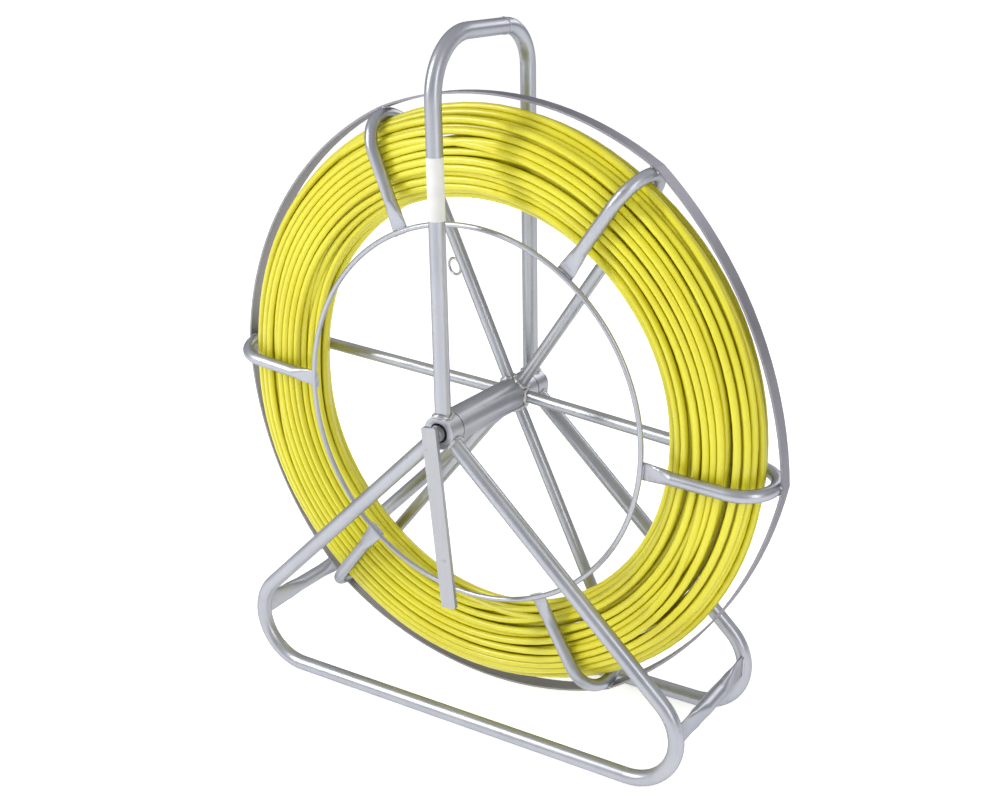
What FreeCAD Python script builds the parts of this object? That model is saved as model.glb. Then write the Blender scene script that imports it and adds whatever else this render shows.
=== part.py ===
"""Fish tape reel: a glass-fibre cable rod coiled in a wire reel, on a welded tube stand with a handle.

Millimetres. +Z is up, +Y runs along the axle from the lever to the back, and +X is to the right when the
reel is seen from the lever side. The origin is on the floor, straight below the middle of the hub.
"""
import math
import os

import FreeCAD
import Part
from FreeCAD import Vector

# Stand
AXLE_HEIGHT = 310.0        # axle above the floor
FRAME_Y = 76.5             # front and back frames stand this far from the middle
TUBE_RADIUS = 7.5          # stand and handle tube
TUBE_WALL = 1.5
FOOT_HALF_SPAN = 319.0     # where leg and floor tube would meet without the bend
FOOT_BEND = 50.0           # centre-line radius of the lower corners
HANDLE_TOP = 351.0         # handle centre line above the axle
HANDLE_FRONT_BEND = 54.0
HANDLE_REAR_BEND = 38.0
HANDLE_JOINT_Y = 36.0      # where the two handle tubes are butt welded
CROSSBAR_Z = 62.5
CROSSBAR_FLAT = (1.7, 11.2)    # half thickness and half height of the pressed end
CROSSBAR_TAPER = 40.0
CROSSBAR_PRESS = 60.0          # the pressed end starts this far from the frame's middle plane
COPE_HALF = 20.0               # half length of the cut that copes a tube onto its collar
COPE_DEPTH = 4.0               # a tube starts this far inside its collar, before the cut
LABEL_SPAN = (195.0, 250.0)    # above the axle, on the front handle leg
LABEL_THICKNESS = 0.25

# Axle and hub
COLLAR_RADIUS = 16.0
COLLAR_BORE = 9.5
COLLAR_SPAN = (66.5, 84.5)     # distance from the middle, the same at both ends
COLLAR_BUSH_SPAN = (66.5, 77.5)
HUB_HALF_LENGTH = 65.5
HUB_BORE = 13.0
HUB_BUSH_LENGTH = 15.0
AXLE_RADIUS = 8.0
RUNNING_GAP = 0.06
AXLE_BACK = 83.0
LEVER_BACK = 91.0              # the lever's back face is this far in front of the middle
LEVER_SIZE = (16.0, 4.0, 180.0)
LEVER_ABOVE_AXLE = 8.0
LEVER_ASIDE = -3.5             # the bar is welded a little off the screw's middle
LEVER_CORNER = 2.0
LEVER_LEAN = 5.3               # degrees, foot of the lever towards +X

# Reel
SPOKES = (                     # angle, lean of the front towards higher angles, extra reach of the hook
    (111.4, 2.9, 0.0),
    (54.0, 3.5, 1.5),
    (-3.6, -3.5, 3.5),
    (-61.8, -10.4, 0.0),
    (-129.0, 0.0, 0.0),
    (174.4, 9.6, 1.0),
)
SPOKE_RADIUS = 6.0
SPOKE_WALL = 1.2
HOOK_CENTRE = (260.0, -4.0)    # distance from the axis, and y, of the hook's bend
HOOK_BEND = 32.0
SPOKE_SLOPE = 4.0             # degrees that the back run leans towards the hub's back end
SPOKE_START = 12.0             # inside the hub, before it is coped
PRESS_START = 213.0            # the front run is pressed flat from here inwards
PRESS_FLAT = 191.0
SPOKE_END = 182.5
SPOKE_FLAT = (1.5, 8.7)        # half thickness and half width of the pressed end
RING_RADIUS = 184.0
RING_WIRE = 2.5
HOOP_THICKNESS = 2.0           # the strip lies on the hooks' tips, with a corner at each
HOOP_MIDDLES = (297.3, 292.8, 293.5, 294.4, 296.6, 298.3)  # outside, half way from each spoke to the next
HOOP_HALF_WIDTH = 8.0
HOOP_Y = 1.5
EYE_ALONG = 136.5              # the eye's distance from the axis
EYE_RADIUS = 8.2
EYE_WIRE = 1.3
EYE_TURN = 14.0                # the eye's far side is turned this much towards the back

# Rod
COIL_RADIUS = 243.2
COIL_Y = -4.3
COIL_HALF = (42.2, 25.3)       # half depth towards the axis, half width along it
FERRULE_RADIUS = 5.0
FERRULE_LENGTH = 45.0
FERRULE_Y = 26.2
FERRULES = {                   # angle, and which way round the coil the thread faces
    "rod_lead_ferrule": (140.0, 1),
    "rod_tail_ferrule": (-102.0, -1),
}
FERRULE_CHAMFER = 0.8
SOCKET_GAP = 0.05
ROD_RADIUS = 3.5
SOCKET_DEPTH = 26.0
THREAD_RADIUS = 2.5
THREAD_DEPTH = 14.0

# A tube's pressed end
OVAL_POINTS = 32
OVAL_POWER = 0.45              # below 1 the oval's long sides are flatter
PRESS_BORE_FLAT = 1 / 3        # half thickness of the bore's end, as a share of the tongue's
PRESS_BORE_SHARE = 0.8         # the bore closes at this share of the taper

AXIS = Vector(0, 1, 0)


def polar(distance, angle, y):
    """The point at a distance and an angle (degrees, from +X towards +Z) about the axle."""
    turn = math.radians(angle)
    return Vector(distance * math.cos(turn), y, AXLE_HEIGHT + distance * math.sin(turn))


def axle_cylinder(radius, start, end):
    """A solid cylinder on the axle's line."""
    return Part.makeCylinder(radius, end - start, Vector(0, start, AXLE_HEIGHT), AXIS)


def axle_sleeve(outer, inner, start, end):
    return axle_cylinder(outer, start, end).cut(axle_cylinder(inner, start, end))


def rounded_path(points, radius):
    """A wire through the points, with every corner rounded by the same radius."""
    edges = []
    last = points[0]
    for before, corner, after in zip(points, points[1:], points[2:]):
        inward = (before - corner).normalize()
        onward = (after - corner).normalize()
        half = inward.getAngle(onward) / 2
        trim = radius / math.tan(half)
        begin = corner + inward * trim
        finish = corner + onward * trim
        bisector = (inward + onward).normalize()
        middle = corner + bisector * (radius / math.sin(half) - radius)
        edges.append(Part.LineSegment(last, begin).toShape())
        edges.append(Part.Arc(begin, middle, finish).toShape())
        last = finish
    edges.append(Part.LineSegment(last, points[-1]).toShape())
    return Part.Wire(edges)


def sweep(path, radius):
    first = path.Edges[0]
    start = first.valueAt(first.FirstParameter)
    circle = Part.Wire(Part.makeCircle(radius, start, first.tangentAt(first.FirstParameter)))
    return path.makePipeShell([circle], True, False)


def hollow(path, radius, wall):
    """A round tube along a wire."""
    return sweep(path, radius).cut(sweep(path, radius - wall))


def oval(half_flat, half_wide, height):
    """A closed flat-sided loop about the Z axis, thin along Y."""
    points = []
    for step in range(OVAL_POINTS):
        turn = 2 * math.pi * step / OVAL_POINTS
        thick = math.copysign(abs(math.sin(turn)) ** OVAL_POWER, math.sin(turn))
        points.append(Vector(half_wide * math.cos(turn), half_flat * thick, height))
    curve = Part.BSplineCurve()
    curve.interpolate(points, PeriodicFlag=True)
    return Part.Wire(curve.toShape())


def round_loop(radius):
    return Part.Wire(Part.makeCircle(radius, Vector(0, 0, 0), Vector(0, 0, 1)))


def pressed_end(start, along, flat, radius, wall, taper, length, half_flat, half_wide):
    """A tube's end pressed flat: a taper from the round tube, then a flat tongue."""
    outside = Part.makeLoft([
        round_loop(radius),
        oval((radius + half_flat) / 2, (radius + half_wide) / 2, taper / 2),
        oval(half_flat, half_wide, taper),
        oval(half_flat, half_wide, length),
    ], True, True)
    bore = Part.makeLoft([
        round_loop(radius - wall),
        oval(half_flat * PRESS_BORE_FLAT, half_wide - wall, taper * PRESS_BORE_SHARE),
    ], True, True)
    end = outside.cut(bore)
    end.Placement = FreeCAD.Placement(start, FreeCAD.Rotation(flat.cross(along), flat, along, "ZXY"))
    return end


def export(name, shape):
    """Write one node, after checking that it is sound."""
    if not shape.isValid() or shape.Volume <= 0:
        raise ValueError(name + " isn't a sound solid")
    shape.exportStep("parts/" + name + ".step")
    print("%-22s solids %d  volume %10.1f" % (name, len(shape.Solids), shape.Volume))


def leg_path(y):
    """Down from the collar, along the floor and back up to the collar."""
    hub = Vector(0, y, AXLE_HEIGHT)
    left = Vector(-FOOT_HALF_SPAN, y, TUBE_RADIUS)
    right = Vector(FOOT_HALF_SPAN, y, TUBE_RADIUS)
    inside = COLLAR_RADIUS - COPE_DEPTH
    start = hub + (left - hub).normalize() * inside
    end = hub + (right - hub).normalize() * inside
    return rounded_path([start, left, right, end], FOOT_BEND)


def leg_frame(y):
    """One bent tube, coped to sit on its collar."""
    tube = hollow(leg_path(y), TUBE_RADIUS, TUBE_WALL)
    return tube.cut(axle_cylinder(COLLAR_RADIUS, y - COPE_HALF, y + COPE_HALF))


def handle_tube(y, bend):
    """One leg of the handle with its bend and its share of the top bar."""
    top = AXLE_HEIGHT + HANDLE_TOP
    points = [Vector(0, y, AXLE_HEIGHT), Vector(0, y, top), Vector(0, HANDLE_JOINT_Y, top)]
    tube = hollow(rounded_path(points, bend), TUBE_RADIUS, TUBE_WALL)
    return tube.cut(axle_cylinder(COLLAR_RADIUS, y - COPE_HALF, y + COPE_HALF))


def foot_outside():
    """X of the corner bend's centre line at the crossbars' height."""
    slope = math.atan2(AXLE_HEIGHT - TUBE_RADIUS, FOOT_HALF_SPAN)
    bend_x = FOOT_HALF_SPAN - FOOT_BEND / math.tan(slope / 2)
    rise = CROSSBAR_Z - (TUBE_RADIUS + FOOT_BEND)
    return bend_x + math.sqrt(FOOT_BEND ** 2 - rise ** 2)


def crossbar(side):
    """A tube with both ends pressed flat and welded against the frames."""
    x = side * foot_outside()
    reach = FRAME_Y - CROSSBAR_PRESS
    half_flat, half_wide = CROSSBAR_FLAT
    flat = Vector(1, 0, 0)
    ends = [Vector(x, -reach, CROSSBAR_Z), Vector(x, reach, CROSSBAR_Z)]
    middle = Part.Wire(Part.LineSegment(*ends).toShape())
    bar = hollow(middle, TUBE_RADIUS, TUBE_WALL)
    for end in (-1, 1):
        start = Vector(x, end * reach, CROSSBAR_Z)
        along = Vector(0, end, 0)
        bar = bar.fuse(pressed_end(start, along, flat, TUBE_RADIUS, TUBE_WALL, CROSSBAR_TAPER,
                                   CROSSBAR_PRESS, half_flat, half_wide))
        bar = bar.cut(sweep(leg_path(end * FRAME_Y), TUBE_RADIUS))
    return bar


def lever():
    width, thickness, length = LEVER_SIZE
    low = Vector(LEVER_ASIDE - width / 2, -LEVER_BACK - thickness, AXLE_HEIGHT + LEVER_ABOVE_AXLE - length)
    bar = Part.makeBox(width, thickness, length, low)
    upright = [edge for edge in bar.Edges if abs(edge.tangentAt(edge.FirstParameter).y) > 0.9]
    bar = bar.makeFillet(LEVER_CORNER, upright)
    bar.rotate(Vector(0, 0, AXLE_HEIGHT), AXIS, -LEVER_LEAN)
    return bar


def spoke_line(reach=0.0):
    """Distance from the axis and y of the points on a spoke's centre line, hub end first."""
    slope = math.radians(SPOKE_SLOPE)
    centre_r, centre_y = HOOK_CENTRE
    centre_r += reach
    back = (centre_r + HOOK_BEND * math.sin(slope), centre_y + HOOK_BEND * math.cos(slope))
    hub = (SPOKE_START, back[1] + (back[0] - SPOKE_START) * math.tan(slope))
    tip = (centre_r + HOOK_BEND, centre_y)
    front = (centre_r, centre_y - HOOK_BEND)
    return hub, back, tip, front


def lean_drop(lean):
    """How far a leaning spoke is set forward, so that its pressed end still meets the ring."""
    hub, _, _, front = spoke_line()
    depth = hub[1] - RING_RADIUS * math.tan(math.radians(SPOKE_SLOPE)) - front[1]
    return depth * (1 - math.cos(math.radians(lean)))


def lean_over(shape, angle, lean, reach):
    """Turn a spoke's shape about its back run."""
    hub, back = (polar(r, angle, y - lean_drop(lean)) for r, y in spoke_line(reach)[:2])
    shape.rotate(hub, back - hub, -lean)
    return shape


def hook_tip(angle, lean, reach):
    """Distance from the axle's line and angle of a hook's outermost point, on the centre line."""
    r, y = spoke_line(reach)[2]
    tip = lean_over(Part.Vertex(polar(r, angle, y - lean_drop(lean))), angle, lean, reach).Point
    x, z = tip.x, tip.z - AXLE_HEIGHT
    return math.hypot(x, z), math.degrees(math.atan2(z, x))


def spoke(angle, lean, reach):
    """Hub to coil along the back, round the coil in a hook, and in along the front to the ring."""
    drop = lean_drop(lean)
    hub, back, tip, front = (polar(r, angle, y - drop) for r, y in spoke_line(reach))
    press = polar(PRESS_START, angle, front.y)
    path = Part.Wire([
        Part.LineSegment(hub, back).toShape(),
        Part.Arc(back, tip, front).toShape(),
        Part.LineSegment(front, press).toShape(),
    ])
    inward = (polar(0, angle, 0) - polar(1, angle, 0)).normalize()
    half_flat, half_wide = SPOKE_FLAT
    tube = hollow(path, SPOKE_RADIUS, SPOKE_WALL)
    end = pressed_end(press, inward, AXIS, SPOKE_RADIUS, SPOKE_WALL, PRESS_START - PRESS_FLAT,
                      PRESS_START - SPOKE_END, half_flat, half_wide)
    whole = lean_over(tube.fuse(end), angle, lean, reach)
    return whole.cut(axle_cylinder(COLLAR_RADIUS, 0, HUB_HALF_LENGTH)).cut(front_ring())


def front_ring():
    """The front ring's wire lies on the spokes' pressed ends."""
    y = spoke_line()[3][1] - SPOKE_FLAT[0] - RING_WIRE
    return Part.makeTorus(RING_RADIUS, RING_WIRE, Vector(0, y, AXLE_HEIGHT), AXIS)


def hoop_outline(lift, y):
    """The strip's edge, that far outside the hooks' tips: one arc from each hook to the next."""
    tips = [hook_tip(*spoke) for spoke in SPOKES]
    edges = []
    for (r, angle), (next_r, following), middle in zip(tips, tips[1:] + tips[:1], HOOP_MIDDLES):
        following -= 360 * (following > angle)
        edges.append(Part.Arc(polar(r + SPOKE_RADIUS + lift, angle, y),
                              polar(middle - HOOP_THICKNESS + lift, (angle + following) / 2, y),
                              polar(next_r + SPOKE_RADIUS + lift, following, y)).toShape())
    return Part.Wire(edges)


def outer_hoop():
    start = HOOP_Y - HOOP_HALF_WIDTH
    across = Vector(0, 2 * HOOP_HALF_WIDTH, 0)
    outside = Part.Face(hoop_outline(HOOP_THICKNESS, start)).extrude(across)
    inside = Part.Face(hoop_outline(0.0, start)).extrude(across)
    return outside.cut(inside)


def guide_eye():
    """A small wire eye welded to the side of the first spoke."""
    angle, lean, reach = SPOKES[0]
    hub, back = spoke_line(reach)[:2]
    share = (EYE_ALONG - hub[0]) / (back[0] - hub[0])
    y = hub[1] + (back[1] - hub[1]) * share - lean_drop(lean)
    turn = math.radians(EYE_TURN)
    sideways = polar(1, angle + 90, 0) - polar(0, 0, 0)
    out = sideways * math.cos(turn) + AXIS * math.sin(turn)
    normal = AXIS * math.cos(turn) - sideways * math.sin(turn)
    centre = polar(EYE_ALONG, angle, y) + out * (SPOKE_RADIUS + EYE_WIRE + EYE_RADIUS)
    return Part.makeTorus(EYE_RADIUS, EYE_WIRE, centre, normal)


def rod_coil():
    """The outer shape of the coiled rod: an oval section turned about the axle."""
    depth, width = COIL_HALF
    centre = Vector(COIL_RADIUS, COIL_Y, AXLE_HEIGHT)
    section = Part.Ellipse(centre + Vector(depth, 0, 0), centre + Vector(0, width, 0), centre)
    face = Part.Face(Part.Wire(section.toShape()))
    return face.revolve(Vector(0, 0, AXLE_HEIGHT), AXIS, 360)


def ferrule(angle, way):
    """A turned sleeve on a rod's end: a socket for the rod, and a thread for the pulling head."""
    turn = math.radians(angle)
    along = Vector(-way * math.sin(turn), 0, way * math.cos(turn))
    middle = polar(COIL_RADIUS, angle, FERRULE_Y)
    socket_end = middle - along * (FERRULE_LENGTH / 2)
    thread_end = middle + along * (FERRULE_LENGTH / 2)
    body = Part.makeCylinder(FERRULE_RADIUS, FERRULE_LENGTH, socket_end, along)
    rims = [edge for edge in body.Edges if edge.Closed]
    body = body.makeChamfer(FERRULE_CHAMFER, rims)
    socket = Part.makeCylinder(ROD_RADIUS + SOCKET_GAP, SOCKET_DEPTH, socket_end, along)
    thread = Part.makeCylinder(THREAD_RADIUS, THREAD_DEPTH, thread_end - along * THREAD_DEPTH, along)
    return body.cut(socket).cut(thread)


def stand():
    collar_inner, collar_outer = COLLAR_SPAN
    bush_inner, bush_outer = COLLAR_BUSH_SPAN
    running = AXLE_RADIUS + RUNNING_GAP
    export("front_leg_frame", leg_frame(-FRAME_Y))
    export("rear_leg_frame", leg_frame(FRAME_Y))
    export("front_collar", axle_sleeve(COLLAR_RADIUS, COLLAR_BORE, -collar_outer, -collar_inner))
    export("rear_collar", axle_sleeve(COLLAR_RADIUS, COLLAR_BORE, collar_inner, collar_outer))
    export("front_collar_bush", axle_sleeve(COLLAR_BORE, running, -bush_outer, -bush_inner))
    export("rear_clamp_nut", axle_sleeve(COLLAR_BORE, running, bush_inner, bush_outer))
    export("handle_front_tube", handle_tube(-FRAME_Y, HANDLE_FRONT_BEND))
    export("handle_rear_tube", handle_tube(FRAME_Y, HANDLE_REAR_BEND))
    export("left_crossbar", crossbar(-1))
    export("right_crossbar", crossbar(1))
    low, high = LABEL_SPAN
    base = Vector(0, -FRAME_Y, AXLE_HEIGHT + low)
    wrap = Part.makeCylinder(TUBE_RADIUS + LABEL_THICKNESS, high - low, base)
    export("handle_label", wrap.cut(Part.makeCylinder(TUBE_RADIUS, high - low, base)))


def brake():
    export("axle_screw", axle_cylinder(AXLE_RADIUS, -LEVER_BACK, AXLE_BACK))
    export("brake_lever", lever())


def reel():
    running = AXLE_RADIUS + RUNNING_GAP
    inner = HUB_HALF_LENGTH - HUB_BUSH_LENGTH
    export("hub_tube", axle_sleeve(COLLAR_RADIUS, HUB_BORE, -HUB_HALF_LENGTH, HUB_HALF_LENGTH))
    export("hub_front_bush", axle_sleeve(HUB_BORE, running, -HUB_HALF_LENGTH, -inner))
    export("hub_rear_bush", axle_sleeve(HUB_BORE, running, inner, HUB_HALF_LENGTH))
    for number, line in enumerate(SPOKES, start=1):
        export("spoke_%d" % number, spoke(*line))
    export("front_ring", front_ring())
    export("outer_hoop", outer_hoop())
    export("guide_eye", guide_eye())
    export("rod_coil", rod_coil())
    for name, (angle, way) in FERRULES.items():
        export(name, ferrule(angle, way))


os.makedirs("parts", exist_ok=True)
stand()
brake()
reel()
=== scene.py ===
"""Looks of the fish tape reel: the wound rod, the welds, the finishes, the light and the camera.

Metres, in the CAD frame: +Z up, +Y along the axle from the lever to the back, +X to the right seen from
the lever side, origin on the floor below the middle of the hub. Angles about the axle are in degrees.
"""

import math

import bpy
import numpy as np
from mathutils import Matrix, Vector, noise


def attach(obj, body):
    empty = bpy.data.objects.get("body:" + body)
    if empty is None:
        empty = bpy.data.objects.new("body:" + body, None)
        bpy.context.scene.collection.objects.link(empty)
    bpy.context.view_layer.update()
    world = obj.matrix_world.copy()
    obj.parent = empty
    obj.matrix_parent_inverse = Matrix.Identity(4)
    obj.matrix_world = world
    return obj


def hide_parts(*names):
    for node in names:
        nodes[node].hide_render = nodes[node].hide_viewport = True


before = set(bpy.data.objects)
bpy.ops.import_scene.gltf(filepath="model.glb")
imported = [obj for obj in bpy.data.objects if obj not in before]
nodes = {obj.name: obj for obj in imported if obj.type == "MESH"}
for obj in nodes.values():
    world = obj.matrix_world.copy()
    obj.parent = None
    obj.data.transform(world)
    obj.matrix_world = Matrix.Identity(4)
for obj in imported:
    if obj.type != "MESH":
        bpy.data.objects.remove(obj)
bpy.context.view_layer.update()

# Sizes that the CAD part has too
AXLE = 0.310
FRAME_Y = 0.0765
TUBE = 0.0075
FOOT_HALF_SPAN = 0.319
FOOT_BEND = 0.050
CROSSBAR_Z = 0.0625
CROSSBAR_FLAT = (0.0017, 0.0112)
COLLAR = 0.016
SPOKES = (                      # angle, lean of the front towards higher angles, extra reach of the hook
    (111.4, 2.9, 0.0),
    (54.0, 3.5, 0.0015),
    (-3.6, -3.5, 0.0035),
    (-61.8, -10.4, 0.0),
    (-129.0, 0.0, 0.0),
    (174.4, 9.6, 0.0010),
)
SPOKE = 0.006
SPOKE_START = 0.012
SPOKE_SLOPE = math.radians(4.0)
HOOK_CENTRE = (0.260, -0.004)
HOOK_BEND = 0.032
RING = 0.184
RING_WIRE = 0.0025
TONGUE = (0.0015, 0.0087)
EYE_ALONG = 0.1365
EYE_TURN = math.radians(14.0)
COIL = 0.2432
COIL_Y = -0.0043
COIL_HALF = (0.0422, 0.0253)
ROD = 0.007
FERRULE_Y = 0.0262
LEAD_ANGLE = 140.0
TAIL_ANGLE = -102.0
HANDLE_TOP = 0.351
HANDLE_JOINT_Y = 0.036


def polar(distance, angle, y):
    """The point at a distance and an angle about the axle."""
    turn = math.radians(angle)
    return Vector((distance * math.cos(turn), y, AXLE + distance * math.sin(turn)))


# ---------------------------------------------------------------- camera
CAMERA_PLACE = (0.6722, -1.0122, 0.7481)
CAMERA_YAW = 32.31
CAMERA_PITCH = 19.86
CAMERA_ROLL = -0.69
CAMERA_SENSOR = 36.0            # mm
CAMERA_LENS = 48.6              # mm
CAMERA_SHIFT = (-0.0209, 0.0064)
CAMERA_REACH = 100.0


def add_camera():
    yaw, pitch, roll = (math.radians(a) for a in (CAMERA_YAW, CAMERA_PITCH, CAMERA_ROLL))
    ahead = Vector((-math.sin(yaw) * math.cos(pitch), math.cos(yaw) * math.cos(pitch), -math.sin(pitch)))
    right = Vector((math.cos(yaw), math.sin(yaw), 0))
    up = right.cross(ahead)
    across = right * math.cos(roll) + up * math.sin(roll)
    upward = up * math.cos(roll) - right * math.sin(roll)
    data = bpy.data.cameras.new("camera")
    data.sensor_width = CAMERA_SENSOR
    data.lens = CAMERA_LENS
    data.shift_x, data.shift_y = CAMERA_SHIFT
    data.clip_end = CAMERA_REACH
    camera = bpy.data.objects.new("camera", data)
    turned = Matrix((across, upward, -ahead)).transposed().to_4x4()
    camera.matrix_world = Matrix.Translation(CAMERA_PLACE) @ turned
    bpy.context.scene.collection.objects.link(camera)
    bpy.context.scene.camera = camera


# ---------------------------------------------------------------- the wound rod
PER_TURN = 24                   # control points in a turn
STEP = 360.0 / PER_TURN
FIRST_ANGLE = -94.0             # of the first control point that is clear of the tail ferrule
TURNS = 38.625                  # from there to the last one that is clear of the lead ferrule
PULL_IN = 0.75 + 0.25 * math.cos(math.radians(STEP))   # how far the spline cuts inside its points
SHELL = (COIL_HALF[0] - ROD / 2, COIL_HALF[1] - ROD / 2)   # the oval that the outermost turns lie on
BUNDLE = (                      # angle, and how far outside and inside lie beyond the even coil's
    (-165.0, 0.0080, -0.0080),
    (-129.0, 0.0006, -0.0065),
    (-100.0, 0.0025, -0.0020),
    (-63.0, 0.0000, -0.0010),
    (-25.0, 0.0030, -0.0045),
    (-3.6, 0.0040, -0.0055),
    (28.0, 0.0030, -0.0040),
    (54.0, 0.0020, -0.0050),
    (84.0, 0.0085, -0.0040),
    (111.4, 0.0003, 0.0050),
    (145.0, 0.0055, 0.0005),
    (175.0, 0.0015, -0.0065),
)
LANES = 27.0                    # turns that lie side by side round the oval
FIRST_LANE = 13.0
LANE_WAVES = (5.3, 1.7)         # longest and shortest wave, in turns, by which the rod changes lanes
LANE_WANDER = 1.1
DIVE_WAVES = (4.7, 0.9)         # the same for slipping under the neighbours
DIVE_ABOVE = 0.75               # how high such a wave stands before the rod slips under
DIVE = 0.30                     # how deep it then lies, as a share of the oval
WAVES = 7
PHASES = 1000                   # equal lengths in the oval's table
RISE_TURN = 0.22                # the ends climb out of the coil over this share of a turn
BACK_TURN = 0.75                # and reach the coil's back over this one
SWEEPS = 420                    # rounds of pushing apart
LOOSE = 1.005                   # least distance between turns, in rod diameters
PUSH = 0.42                     # share of an overlap that each of two turns gives way by
SMOOTHING = 0.30                # share of the way to the mean of the neighbours along the rod
PULL_BACK = 0.02                # share of the way back to the first place, fading to nothing
HELD = 0.85                     # climb above which an end stays where it is
ROD_IN_FERRULE = (-0.003, 0.010, 0.022)   # rod points on a ferrule's axis, from its middle


def ease(share):
    """A share from 0 to 1 with a soft start and end."""
    return share * share * (3 - 2 * share)


def bundle_edges(angle):
    """How far the bundle's outside and inside lie beyond the even coil's at an angle."""
    for k, (start, *low) in enumerate(BUNDLE):
        end, *high = BUNDLE[(k + 1) % len(BUNDLE)]
        share = (angle - start) % 360 / ((end - start) % 360)
        if share < 1:
            return [a + (b - a) * ease(share) for a, b in zip(low, high)]
    raise ValueError("the bundle has no span at %s degrees" % angle)


def shell_point(phase, layer, depth=SHELL[0]):
    """A point of the oval, or of a smaller one where layer is below 1."""
    return np.stack([depth * layer * np.cos(phase), SHELL[1] * layer * np.sin(phase)], -1)


def even_phases():
    """Angles that cut the oval's outline into equal lengths."""
    fine = np.linspace(0, 2 * math.pi, 4 * PHASES)
    steps = np.hypot(SHELL[0] * np.sin(fine), SHELL[1] * np.cos(fine))
    length = np.concatenate([[0], np.cumsum((steps[1:] + steps[:-1]) / 2)])
    return np.interp(np.linspace(0, 1, PHASES + 1), length / length[-1], fine)


def wander(rng, turn, slow, fast):
    """A random wave along the rod, summed from waves of several lengths between slow and fast."""
    summed = np.zeros(len(turn))
    for wave in np.linspace(slow, fast, WAVES):
        summed += np.sin(2 * math.pi * (turn / wave + rng.random())) * rng.normal()
    return summed / summed.std()


def lay_side_by_side(turn, depths):
    """Places round the oval, one lane further with every turn, some slipped under their neighbours."""
    rng = np.random.default_rng(11)
    lane = (turn + FIRST_LANE + LANE_WANDER * wander(rng, turn, *LANE_WAVES)) % LANES
    phase = np.interp(lane / LANES * PHASES, np.arange(PHASES + 1), even_phases())
    dive = np.clip(wander(rng, turn, *DIVE_WAVES) - DIVE_ABOVE, 0, 1)
    return shell_point(phase, 1.0 - DIVE * dive, depths)


def bring_ends_out(place, climb, join):
    """The same places with both ends led over the coil's back and up to the ferrules."""
    on_back = shell_point(np.full(len(place), math.pi / 2), 1.0)
    top = np.array([0.0, FERRULE_Y - COIL_Y])
    goal = on_back * (1 - join[:, None]) + place * join[:, None]
    rising = climb > 0
    goal[rising] = on_back[rising] * (1 - climb[rising, None]) + top * climb[rising, None]
    return goal


def part(points):
    """One section's points, each pushed away from those that it lies in."""
    same = np.eye(len(points))
    gap = points[:, None] - points[None]
    far = np.hypot(gap[..., 0], gap[..., 1]) + same
    push = np.clip(ROD * LOOSE - far, 0, None) * (1 - same) / far * PUSH
    return points + (gap * push[..., None]).sum(1)


def settle(goal, depths, climb):
    """Push the turns apart in every section, keep them inside the oval and smooth them lengthways."""
    place = goal.copy()
    for sweep in range(SWEEPS):
        for station in range(PER_TURN):
            rows = np.arange(station, len(place), PER_TURN)
            points = part(place[rows])
            out = np.hypot(points[:, 0] / depths[rows], points[:, 1] / SHELL[1])
            outside = (out > 1) & ~(climb[rows] > 0)
            points[outside] /= out[outside, None]
            place[rows] = points
        smooth = place.copy()
        smooth[1:-1] = (place[:-2] + 2 * place[1:-1] + place[2:]) / 4
        place += (smooth - place) * SMOOTHING
        place += (goal - place) * PULL_BACK * (1 - sweep / SWEEPS)
        place[climb > HELD] = goal[climb > HELD]
    return place


def wind():
    """Where the rod lies in the coil's section at each control point: (towards outside, along y)."""
    count = int(round(TURNS * PER_TURN)) + 1
    turn = np.arange(count) / PER_TURN
    from_end = np.minimum(turn, turn[-1] - turn)
    climb = ease(np.clip(1 - from_end / RISE_TURN, 0, 1))
    join = ease(np.clip((from_end - RISE_TURN) / (BACK_TURN - RISE_TURN), 0, 1))
    edges = np.array([bundle_edges(FIRST_ANGLE + STEP * index) for index in range(count)])
    depths = SHELL[0] + (edges[:, 0] - edges[:, 1]) / 2
    place = settle(bring_ends_out(lay_side_by_side(turn, depths), climb, join), depths, climb)
    place[:, 0] += (edges[:, 0] + edges[:, 1]) / 2 * (1 - climb)
    return place


def tangent_point(angle, way, ahead):
    """A point on a ferrule's axis, that far from its middle towards its socket."""
    turn = math.radians(angle)
    along = Vector((-way * math.sin(turn), 0, way * math.cos(turn)))
    return polar(COIL, angle, FERRULE_Y) - along * ahead


def rod_points():
    """The spline's control points, from the tail ferrule to the lead ferrule."""
    points = [tangent_point(TAIL_ANGLE, -1, reach) for reach in ROD_IN_FERRULE]
    for index, (depth, across) in enumerate(wind()):
        points.append(polar((COIL + depth) / PULL_IN, FIRST_ANGLE + STEP * index, COIL_Y + across))
    points += [tangent_point(LEAD_ANGLE, 1, reach) for reach in reversed(ROD_IN_FERRULE)]
    return points


def add_rod(material):
    points = rod_points()
    data = bpy.data.curves.new("rod", "CURVE")
    data.dimensions = "3D"
    data.bevel_depth = ROD / 2
    data.bevel_resolution = 4
    data.resolution_u = 4
    data.use_fill_caps = True
    spline = data.splines.new("NURBS")
    spline.points.add(len(points) - 1)
    for target, point in zip(spline.points, points):
        target.co = (*point, 1.0)
    spline.order_u = 3
    spline.use_endpoint_u = True
    data.materials.append(material)
    rod = bpy.data.objects.new("rod", data)
    bpy.context.scene.collection.objects.link(rod)
    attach(rod, "reel")
    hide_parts("rod_coil")


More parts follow.
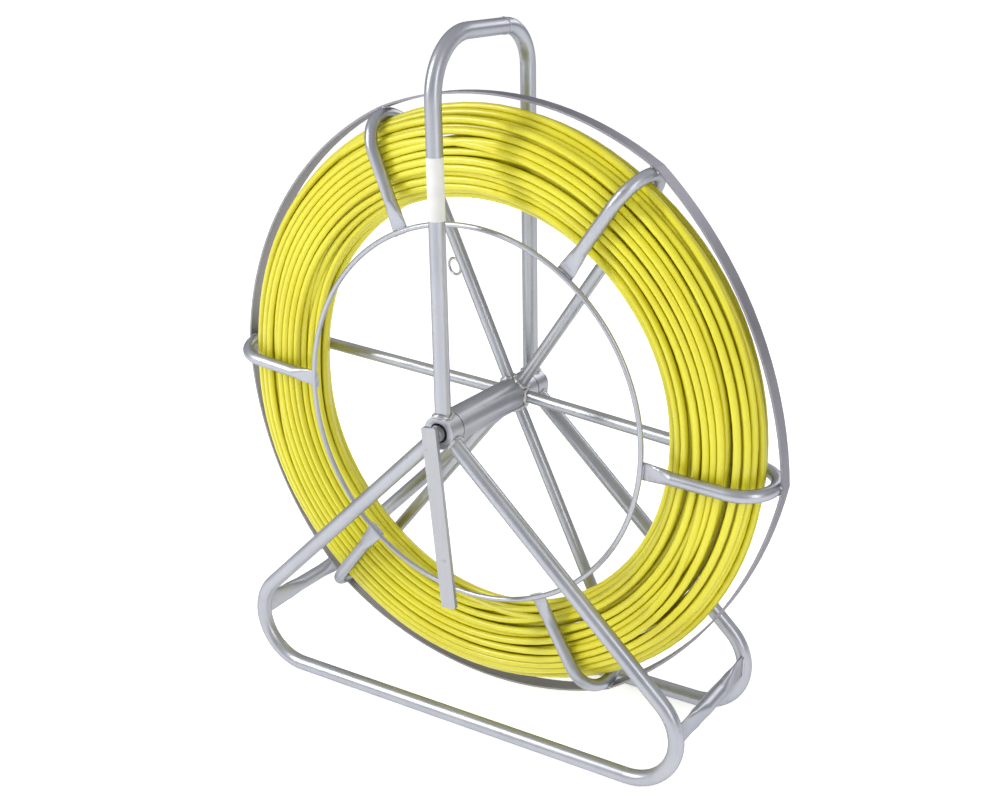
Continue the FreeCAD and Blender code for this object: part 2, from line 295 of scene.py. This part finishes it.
# ---------------------------------------------------------------- materials
SILVER = ((0.46, 0.475, 0.52), (0.40, 0.415, 0.465))       # light and dark tone of each finish
SILVER_BAR = ((0.45, 0.46, 0.49), (0.40, 0.41, 0.44))
SILVER_STRIP = ((0.34, 0.335, 0.37), (0.28, 0.275, 0.31))
AXLE_STEEL = ((0.42, 0.42, 0.43), (0.26, 0.26, 0.27))
BUSH_STEEL = ((0.30, 0.30, 0.31), (0.17, 0.17, 0.18))
BRONZE = ((0.52, 0.38, 0.20), (0.36, 0.25, 0.12))
BRASS = ((0.74, 0.56, 0.27), (0.58, 0.42, 0.19))
YELLOW = ((0.75, 0.705, 0.038), (0.69, 0.625, 0.019))
YELLOW_SCUFF = (0.70, 0.64, 0.10)
# painted shade: the darker yellow laid on the rod where its turns lie close together
YELLOW_PAINTED_SHADE = (0.34, 0.275, 0.012)
FILM = ((0.68, 0.68, 0.67), (0.76, 0.76, 0.75))
WELD = ((0.56, 0.56, 0.58), (0.36, 0.36, 0.39))
WELD_PIT = (0.13, 0.12, 0.12)
NICK = (0.20, 0.19, 0.19)
PAPER = ((0.92, 0.92, 0.92), (0.90, 0.90, 0.90))
WHITE = (1.0, 1.0, 1.0, 1.0)
LACQUER_TINT = (0.45, 0.45, 0.48, 1.0)
LACQUER_METAL = 0.85
ALONG_TUBE = (1.0, 1.0, 0.12)   # squeezes the noise's places, so that the grain runs along z
FINE_BUMP = 0.0003              # height of a bump's full step


def new_material(name):
    material = bpy.data.materials.new(name)
    material.use_nodes = True
    tree = material.node_tree
    return material, tree, tree.nodes["Principled BSDF"]


def node(tree, kind, inputs=(), **settings):
    """A new shader node; inputs are numbers, or sockets that are linked."""
    made = tree.nodes.new(kind)
    for key, value in settings.items():
        setattr(made, key, value)
    for key, value in dict(inputs).items():
        if isinstance(value, bpy.types.NodeSocket):
            tree.links.new(value, made.inputs[key])
        else:
            made.inputs[key].default_value = value
    return made


def object_place(tree):
    return node(tree, "ShaderNodeTexCoord").outputs["Object"]


def noise_value(tree, place, scale, detail=3.0, rough=0.55, stretch=None):
    if stretch:
        place = node(tree, "ShaderNodeMapping", {"Vector": place, "Scale": stretch}).outputs["Vector"]
    made = node(tree, "ShaderNodeTexNoise",
                {"Vector": place, "Scale": scale, "Detail": detail, "Roughness": rough})
    return made.outputs["Fac"]


def spread(tree, value, low, high, start=0.3, end=0.7):
    """Maps start to end, where most of a noise's values lie, onto low to high."""
    made = node(tree, "ShaderNodeMapRange",
                {"Value": value, "From Min": start, "From Max": end, "To Min": low, "To Max": high})
    return made.outputs["Result"]


def mix_colour(tree, share, first, second):
    made = node(tree, "ShaderNodeMix", {0: share}, data_type="RGBA")
    for socket, colour in ((made.inputs[6], first), (made.inputs[7], second)):
        if isinstance(colour, bpy.types.NodeSocket):
            tree.links.new(colour, socket)
        else:
            socket.default_value = (*colour, 1.0)
    return made.outputs[2]


def clouded(tree, cloud, tones):
    """A colour that drifts between a finish's light and dark tone."""
    light, dark = tones
    return mix_colour(tree, spread(tree, cloud, 0.0, 1.0), dark, light)


def add_bump(tree, shader, height, strength, distance=FINE_BUMP):
    made = node(tree, "ShaderNodeBump", {"Height": height, "Strength": strength, "Distance": distance})
    tree.links.new(made.outputs["Normal"], shader.inputs["Normal"])


def total(tree, *values):
    """The sum of (value, weight) pairs."""
    result = None
    for value, weight in values:
        term = node(tree, "ShaderNodeMath", {0: value, 1: weight}, operation="MULTIPLY").outputs[0]
        if result is None:
            result = term
        else:
            result = node(tree, "ShaderNodeMath", {0: result, 1: term}, operation="ADD").outputs[0]
    return result


def silver_lacquer(name, tones=SILVER, rough=(0.33, 0.39), grain=ALONG_TUBE):
    """Satin silver lacquer over drawn steel: faint clouding, fine grain and a few small nicks."""
    material, tree, shader = new_material(name)
    place = object_place(tree)
    cloud = noise_value(tree, place, 22.0, 3.0)
    speck = noise_value(tree, place, 1400.0, 1.0)
    drawn = noise_value(tree, place, 240.0, 2.0, stretch=grain)
    nick = noise_value(tree, place, 120.0, 1.0, 0.4)
    base = clouded(tree, cloud, tones)
    base = mix_colour(tree, spread(tree, drawn, 0.0, 0.25), base, tuple(c * 1.10 for c in tones[0]))
    base = mix_colour(tree, spread(tree, nick, 0.0, 0.35, 0.74, 0.79), base, NICK)
    tree.links.new(base, shader.inputs["Base Color"])
    shader.inputs["Metallic"].default_value = LACQUER_METAL
    shader.inputs["Specular Tint"].default_value = LACQUER_TINT
    blurred = total(tree, (spread(tree, cloud, *rough), 1.0), (spread(tree, drawn, 0.0, 0.03), 1.0))
    tree.links.new(blurred, shader.inputs["Roughness"])
    add_bump(tree, shader, total(tree, (speck, 0.5), (drawn, 0.5)), 0.04)
    return material


def rod_plastic():
    """The rod's yellow sheath: glossy, with faint drawing lines, scuffs, and painted shade between the
    turns, darker where neighbouring turns lie close.
    """
    material, tree, shader = new_material("rod_yellow_sheath")
    place = object_place(tree)
    cloud = noise_value(tree, place, 11.0, 3.0)
    fine = noise_value(tree, place, 480.0, 2.0)
    scuff = noise_value(tree, place, 60.0, 5.0, 0.7)
    base = clouded(tree, cloud, YELLOW)
    base = mix_colour(tree, spread(tree, scuff, 0.0, 0.35, 0.60, 0.78), base, YELLOW_SCUFF)
    # painted shade: ambient occlusion darkens the colour where neighbouring turns lie close, standing in
    # for the shade between them
    turn_shade = node(tree, "ShaderNodeAmbientOcclusion", {"Distance": ROD}, samples=8).outputs["AO"]
    base = mix_colour(tree, spread(tree, turn_shade, 0.38, 0.0, 0.10, 0.62), base, YELLOW_PAINTED_SHADE)
    tree.links.new(base, shader.inputs["Base Color"])
    tree.links.new(spread(tree, scuff, 0.24, 0.40), shader.inputs["Roughness"])
    shader.inputs["IOR"].default_value = 1.5
    shader.inputs["Coat Weight"].default_value = 0.25
    shader.inputs["Coat Roughness"].default_value = 0.22
    add_bump(tree, shader, total(tree, (fine, 0.6), (scuff, 0.4)), 0.06)
    return material


def turned_metal(name, tones, rough):
    """Turned bare metal, with rings about the axle and a little oil."""
    material, tree, shader = new_material(name)
    place = object_place(tree)
    rings = noise_value(tree, place, 700.0, 2.0, stretch=(0.03, 1.0, 0.03))
    cloud = noise_value(tree, place, 90.0, 4.0)
    tree.links.new(clouded(tree, cloud, tones), shader.inputs["Base Color"])
    shader.inputs["Metallic"].default_value = 1.0
    tree.links.new(spread(tree, rings, *rough), shader.inputs["Roughness"])
    add_bump(tree, shader, rings, 0.25)
    return material


def film_label():
    """White self-adhesive film, slightly clouded."""
    material, tree, shader = new_material("label_film")
    place = object_place(tree)
    cloud = noise_value(tree, place, 60.0, 4.0)
    fibre = noise_value(tree, place, 1500.0, 2.0)
    tree.links.new(clouded(tree, cloud, FILM), shader.inputs["Base Color"])
    tree.links.new(spread(tree, cloud, 0.45, 0.62), shader.inputs["Roughness"])
    add_bump(tree, shader, total(tree, (fibre, 0.3), (cloud, 0.7)), 0.12, 0.0004)
    return material


def weld_metal():
    """A weld bead under the lacquer: uneven, with small ripples and a few dark pits."""
    material, tree, shader = new_material("weld_bead")
    place = object_place(tree)
    cloud = noise_value(tree, place, 140.0, 4.0, 0.65)
    pit = noise_value(tree, place, 520.0, 2.0)
    base = clouded(tree, cloud, WELD)
    base = mix_colour(tree, spread(tree, pit, 0.0, 0.8, 0.64, 0.72), base, WELD_PIT)
    tree.links.new(base, shader.inputs["Base Color"])
    shader.inputs["Metallic"].default_value = LACQUER_METAL
    tree.links.new(spread(tree, cloud, 0.28, 0.46), shader.inputs["Roughness"])
    shader.inputs["Coat Weight"].default_value = 0.2
    shader.inputs["Coat Roughness"].default_value = 0.25
    add_bump(tree, shader, total(tree, (cloud, 0.7), (pit, 0.3)), 0.5, 0.0006)
    return material


def floor_paper():
    """White studio paper that glows a little, so that the floor stays as pale as the room."""
    material, tree, shader = new_material("floor_paper")
    cloud = noise_value(tree, object_place(tree), 2.0)
    tree.links.new(clouded(tree, cloud, PAPER), shader.inputs["Base Color"])
    shader.inputs["Roughness"].default_value = 0.9
    shader.inputs["Specular IOR Level"].default_value = 0.1
    shader.inputs["Emission Color"].default_value = WHITE
    shader.inputs["Emission Strength"].default_value = 0.55
    return material


def give(material, *names):
    """Puts one material on CAD nodes."""
    for name in names:
        mesh = nodes[name].data
        mesh.materials.clear()
        mesh.materials.append(material)


def finish_nodes():
    give(silver_lacquer("silver_lacquer"),
         "front_leg_frame", "rear_leg_frame", "front_collar", "rear_collar", "handle_front_tube",
         "handle_rear_tube", "hub_tube", "front_ring", "guide_eye",
         *("spoke_%d" % number for number in range(1, len(SPOKES) + 1)))
    give(silver_lacquer("silver_lacquer_crossbar", grain=(1.0, 0.15, 1.0)),
         "left_crossbar", "right_crossbar")
    give(silver_lacquer("silver_lacquer_bar", SILVER_BAR, (0.38, 0.46), (1.0, 1.0, 0.06)), "brake_lever")
    give(silver_lacquer("silver_lacquer_strip", SILVER_STRIP, (0.44, 0.52), (0.5, 1.0, 0.5)), "outer_hoop")
    give(turned_metal("axle_steel", AXLE_STEEL, (0.24, 0.42)), "axle_screw")
    give(turned_metal("bush_steel", BUSH_STEEL, (0.30, 0.48)), "front_collar_bush", "rear_clamp_nut")
    give(turned_metal("bush_bronze", BRONZE, (0.26, 0.42)), "hub_front_bush", "hub_rear_bush")
    give(turned_metal("ferrule_brass", BRASS, (0.20, 0.36)), "rod_lead_ferrule", "rod_tail_ferrule")
    give(film_label(), "handle_label")


# ---------------------------------------------------------------- weld beads
BEAD_SIDES = 10
BEAD_STEP = 0.35                # between rings, in the bead's own radius
RIPPLE = 0.10                   # share by which the radius ripples
RIPPLE_TURN = 4.2               # radians of a ripple for every radius of length
LUMP = 0.38                     # share by which noise swells or pinches the bead
LUMP_SCALE = 330                # per metre
SEED_STEP = 7.3                 # moves every seed to its own part of the noise
END_LEFT = 0.1                  # share of the radius left at an open bead's ends
STEEP = 0.95                    # above this the path runs along y, and y can't be the rings' side

# Each bead's radius, and how far its middle stands off the tube that it goes round or along
LEG_WELD = (0.0020, 0.0004)
HANDLE_WELD = (0.0027, 0.0006)
SPOKE_WELD = (0.0028, 0.0005)
HANDLE_JOINT_WELD = (0.0007, 0.0)
RING_WELD = (0.0014, 0.0019)
HOOP_WELD = (0.0017, -0.0006)
EYE_WELD = (0.0014, 0.0003)
CROSSBAR_WELD = 0.0015
CROSSBAR_WELD_SHARE = 0.92      # of the pressed end's height
RING_WELD_SHARE = 0.86          # of the tongue's width
HOOP_WELD_ASIDE = 0.0036        # from the hook's middle, one bead on each side
HOOP_WELD_RUN = (-0.004, 0.009)   # start from the hook's middle and length, along y
EYE_WELD_HALF = 0.0045
ROUND_STEPS = 28                # path points round a tube
SEAM_STEPS = 8                  # pieces of an open path
SHORT_STEPS = 6


def in_steps(start, length, pieces):
    """Evenly spaced values from a start over a length."""
    return [start + length * k / pieces for k in range(pieces + 1)]


def cut_fine(path, step, closed):
    """A path's points and others between them, about a step apart."""
    fine = []
    for first, second in zip(path, path[1:] + path[:1] if closed else path[1:]):
        pieces = max(1, int((second - first).length / step))
        fine += [first.lerp(second, k / pieces) for k in range(pieces)]
    return fine if closed else fine + path[-1:]


def bead_vertices(fine, radius, closed, seed):
    """Rings of vertices square to a path, rippled, lumpy, and drawn in at the ends of an open one."""
    vertices = []
    length = 0.0
    last = len(fine) - 1
    for index, point in enumerate(fine):
        before = fine[index - 1] if index or closed else point
        after = fine[(index + 1) % len(fine)] if index < last or closed else point
        along = (after - before).normalized()
        length += (after - before).length / 2
        side = along.orthogonal().normalized()
        if abs(along.y) < STEEP:
            side = (Vector((0, 1, 0)) - along * along.y).normalized()
        other = along.cross(side)
        ripple = 1 + RIPPLE * math.sin(length / radius * RIPPLE_TURN)
        end = 1.0
        if not closed:
            end = math.sqrt(max(0.0, 1 - (2 * index / last - 1) ** 6)) * (1 - END_LEFT) + END_LEFT
        for k in range(BEAD_SIDES):
            turn = 2 * math.pi * k / BEAD_SIDES
            out = side * math.cos(turn) + other * math.sin(turn)
            spot = (point + out * radius) * LUMP_SCALE + Vector((seed * SEED_STEP, 0, 0))
            lump = 1 + LUMP * noise.noise(spot)
            vertices.append(tuple(point + out * radius * ripple * lump * end))
    return vertices


def bead_faces(rings, closed):
    """Faces between the rings, and the two end faces of an open bead."""
    faces = []
    for ring in range(rings if closed else rings - 1):
        here, there = ring * BEAD_SIDES, (ring + 1) % rings * BEAD_SIDES
        for k in range(BEAD_SIDES):
            beside = (k + 1) % BEAD_SIDES
            faces.append((here + k, here + beside, there + beside, there + k))
    if not closed:
        faces.append(tuple(reversed(range(BEAD_SIDES))))
        faces.append(tuple(range((rings - 1) * BEAD_SIDES, rings * BEAD_SIDES)))
    return faces


def bead(name, path, radius, body, material, seed, closed=False):
    """A lumpy weld bead along a path, on one body."""
    fine = cut_fine(path, radius * BEAD_STEP, closed)
    mesh = bpy.data.meshes.new(name)
    mesh.from_pydata(bead_vertices(fine, radius, closed, seed), [], bead_faces(len(fine), closed))
    mesh.polygons.foreach_set("use_smooth", [True] * len(mesh.polygons))
    mesh.materials.append(material)
    mesh.update()
    made = bpy.data.objects.new(name, mesh)
    bpy.context.scene.collection.objects.link(made)
    smooth = made.modifiers.new("round", "SUBSURF")
    smooth.levels = smooth.render_levels = 1
    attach(made, body)


def saddle(y, direction, radius, slope=0.0):
    """The line where a tube of that radius, leaving the axle along direction, meets the collar."""
    points = []
    across = Vector((direction.z, 0, -direction.x))
    for k in range(ROUND_STEPS):
        turn = 2 * math.pi * k / ROUND_STEPS
        aside = radius * math.cos(turn)
        reach = math.sqrt(COLLAR ** 2 - aside ** 2)
        place = Vector((0, y, AXLE)) + direction * reach + across * aside
        place.y += radius * math.sin(turn) - math.tan(slope) * reach
        points.append(place)
    return points


def crossbar_seam(side, end, face):
    """Where one face of a crossbar's pressed end meets the bend of the leg frame."""
    slope = math.atan2(AXLE - TUBE, FOOT_HALF_SPAN)
    bend = FOOT_HALF_SPAN - FOOT_BEND / math.tan(slope / 2)
    half, height = CROSSBAR_FLAT
    x = bend + math.sqrt(FOOT_BEND ** 2 - (CROSSBAR_Z - TUBE - FOOT_BEND) ** 2) + face * half
    points = []
    for k in range(SEAM_STEPS + 1):
        z = CROSSBAR_Z + height * CROSSBAR_WELD_SHARE * (2 * k / SEAM_STEPS - 1)
        aside = x - bend - math.sqrt(FOOT_BEND ** 2 - (z - TUBE - FOOT_BEND) ** 2)
        points.append(Vector((side * x, end * (FRAME_Y - math.sqrt(TUBE ** 2 - aside ** 2)), z)))
    return points


def handle_seam():
    """The line round the handle's top bar where its two tubes meet."""
    radius = TUBE + HANDLE_JOINT_WELD[1]
    turns = (2 * math.pi * k / ROUND_STEPS for k in range(ROUND_STEPS))
    return [Vector((radius * math.cos(turn), HANDLE_JOINT_Y, AXLE + HANDLE_TOP + radius * math.sin(turn)))
            for turn in turns]


def add_stand_welds(material):
    foot = Vector((FOOT_HALF_SPAN, 0, TUBE - AXLE)).normalized()
    for side, end in (("front", -1), ("rear", 1)):
        y = end * FRAME_Y
        for label, direction in (("left", Vector((-foot.x, 0, foot.z))), ("right", foot)):
            radius, off = LEG_WELD
            bead("weld_%s_leg_%s" % (side, label), saddle(y, direction, TUBE + off), radius, "stand",
                 material, len(label) + len(side), closed=True)
        radius, off = HANDLE_WELD
        bead("weld_%s_handle" % side, saddle(y, Vector((0, 0, 1)), TUBE + off), radius, "stand",
             material, 3, closed=True)
        for label, way in (("left", -1), ("right", 1)):
            for number, face in enumerate((-1, 1)):
                bead("weld_%s_crossbar_%s_%d" % (side, label, number), crossbar_seam(way, end, face),
                     CROSSBAR_WELD, "stand", material, way + face + 7)
    bead("weld_handle_joint", handle_seam(), HANDLE_JOINT_WELD[0], "stand", material, 5, closed=True)


def spoke_line(reach):
    """Distance from the axle and y of the back run's ends, the hook's tip and the front run."""
    centre = HOOK_CENTRE[0] + reach
    back = (centre + HOOK_BEND * math.sin(SPOKE_SLOPE), HOOK_CENTRE[1] + HOOK_BEND * math.cos(SPOKE_SLOPE))
    hub = (SPOKE_START, back[1] + (back[0] - SPOKE_START) * math.tan(SPOKE_SLOPE))
    return hub, back, (centre + HOOK_BEND, HOOK_CENTRE[1]), (RING, HOOK_CENTRE[1] - HOOK_BEND)


def spoke_drop(lean):
    """How far a leaning spoke is set forward."""
    hub, _, _, front = spoke_line(0.0)
    depth = hub[1] - RING * math.tan(SPOKE_SLOPE) - front[1]
    return depth * (1 - math.cos(math.radians(lean)))


def on_spoke(spot, angle, lean, reach):
    """Where a spot (distance, y) of an upright spoke lies once the spoke leans about its back run."""
    hub, back = (polar(r, angle, y - spoke_drop(lean)) for r, y in spoke_line(reach)[:2])
    turned = Matrix.Rotation(math.radians(-lean), 3, back - hub)
    return hub + turned @ (polar(spot[0], angle, spot[1] - spoke_drop(lean)) - hub)


def about_axle(place):
    """Distance from the axle and angle of a place."""
    return math.hypot(place.x, place.z - AXLE), math.degrees(math.atan2(place.z - AXLE, place.x))


def add_hub_weld(number, spoke, material):
    angle, lean, reach = spoke
    radius, off = SPOKE_WELD
    y = spoke_line(reach)[0][1] + SPOKE_START * math.tan(SPOKE_SLOPE) - spoke_drop(lean)
    direction = polar(1, angle, 0) - polar(0, angle, 0)
    bead("weld_spoke_%d_hub" % number, saddle(y, direction, SPOKE + off, SPOKE_SLOPE), radius,
         "reel", material, number, closed=True)


def add_ring_welds(number, spoke, material):
    """Beads along the ring's wire, outside and inside it, on the spoke's pressed end."""
    radius, off = RING_WELD
    y = HOOK_CENTRE[1] - HOOK_BEND - TONGUE[0] - RING_WIRE + off
    half = math.degrees(TONGUE[1] * RING_WELD_SHARE / RING)
    crossing = about_axle(on_spoke(spoke_line(spoke[2])[3], *spoke))[1]
    for label, distance in (("outer", RING + off), ("inner", RING - off)):
        path = [polar(distance, angle, y) for angle in in_steps(crossing - half, 2 * half, SEAM_STEPS)]
        bead("weld_ring_%d_%s" % (number, label), path, radius, "reel", material, number * 3)


def add_hoop_welds(number, spoke, material):
    """Beads on both sides of the hook's tip, on the outer hoop."""
    radius, off = HOOP_WELD
    start, length = HOOP_WELD_RUN
    place = on_spoke(spoke_line(spoke[2])[2], *spoke)
    distance, angle = about_axle(place)
    across = polar(1, angle + 90, 0) - polar(0, 0, 0)
    for label, aside in (("a", HOOP_WELD_ASIDE), ("b", -HOOP_WELD_ASIDE)):
        path = [polar(distance + SPOKE + off, angle, y) + across * aside
                for y in in_steps(place.y + start, length, SHORT_STEPS)]
        bead("weld_hoop_%d_%s" % (number, label), path, radius, "reel", material, number * 5)


def add_eye_weld(spoke, material):
    """The guide eye's bead, on the side of its spoke."""
    angle, lean, reach = spoke
    radius, off = EYE_WELD
    hub, back = spoke_line(reach)[:2]
    y = hub[1] + (back[1] - hub[1]) * (EYE_ALONG - hub[0]) / (back[0] - hub[0]) - spoke_drop(lean)
    sideways = polar(1, angle + 90, 0) - polar(0, 0, 0)
    out = sideways * math.cos(EYE_TURN) + Vector((0, math.sin(EYE_TURN), 0))
    path = [polar(distance, angle, y) + out * (SPOKE + off)
            for distance in in_steps(EYE_ALONG - EYE_WELD_HALF, 2 * EYE_WELD_HALF, SHORT_STEPS)]
    bead("weld_eye", path, radius, "reel", material, 9)


def add_reel_welds(material):
    for number, spoke in enumerate(SPOKES, start=1):
        add_hub_weld(number, spoke, material)
        add_ring_welds(number, spoke, material)
        add_hoop_welds(number, spoke, material)
    add_eye_weld(SPOKES[0], material)


# ---------------------------------------------------------------- floor and light
FLOOR_REACH = 30.0
LIGHT_TARGET = (0, 0, 0.33)
LIGHTS = (                      # name, place, size, power
    ("key", (-1.5, -1.7, 1.7), (0.28, 1.7), 36),
    ("fill", (2.1, -0.9, 1.2), (0.2, 1.7), 12),
    ("back", (0.5, 2.2, 1.6), (1.6, 0.6), 10),
)
ROOM_HEIGHTS = (0.05, 0.75)     # as the z of a direction
ROOM_GLOW = (0.35, 0.60)        # below the first height and above the second


def add_floor():
    mesh = bpy.data.meshes.new("floor")
    corners = [(x * FLOOR_REACH, y * FLOOR_REACH, 0) for x, y in ((-1, -1), (1, -1), (1, 1), (-1, 1))]
    mesh.from_pydata(corners, [], [(0, 1, 2, 3)])
    mesh.materials.append(floor_paper())
    floor = bpy.data.objects.new("floor", mesh)
    bpy.context.scene.collection.objects.link(floor)


def add_light(name, place, size, power):
    data = bpy.data.lights.new(name, "AREA")
    data.shape = "RECTANGLE"
    data.size, data.size_y = size
    data.energy = power
    light = bpy.data.objects.new(name, data)
    light.location = place
    light.rotation_mode = "QUATERNION"
    light.rotation_quaternion = (Vector(LIGHT_TARGET) - Vector(place)).to_track_quat("-Z", "Y")
    bpy.context.scene.collection.objects.link(light)


def add_world():
    """A pale room, brighter overhead than at the level of the floor."""
    world = bpy.data.worlds.new("studio")
    world.use_nodes = True
    tree = world.node_tree
    direction = node(tree, "ShaderNodeTexCoord").outputs["Generated"]
    height = node(tree, "ShaderNodeSeparateXYZ", {"Vector": direction}).outputs["Z"]
    glow = node(tree, "ShaderNodeMapRange",
                {"Value": height, "From Min": ROOM_HEIGHTS[0], "From Max": ROOM_HEIGHTS[1],
                 "To Min": ROOM_GLOW[0], "To Max": ROOM_GLOW[1]}, interpolation_type="SMOOTHSTEP")
    tree.nodes["Background"].inputs["Color"].default_value = WHITE
    tree.links.new(glow.outputs["Result"], tree.nodes["Background"].inputs["Strength"])
    bpy.context.scene.world = world


# ---------------------------------------------------------------- build
add_camera()
add_rod(rod_plastic())
finish_nodes()
weld = weld_metal()
add_stand_welds(weld)
add_reel_welds(weld)
add_floor()
add_world()
for light in LIGHTS:
    add_light(*light)
bpy.context.scene.view_settings.view_transform = "Standard"
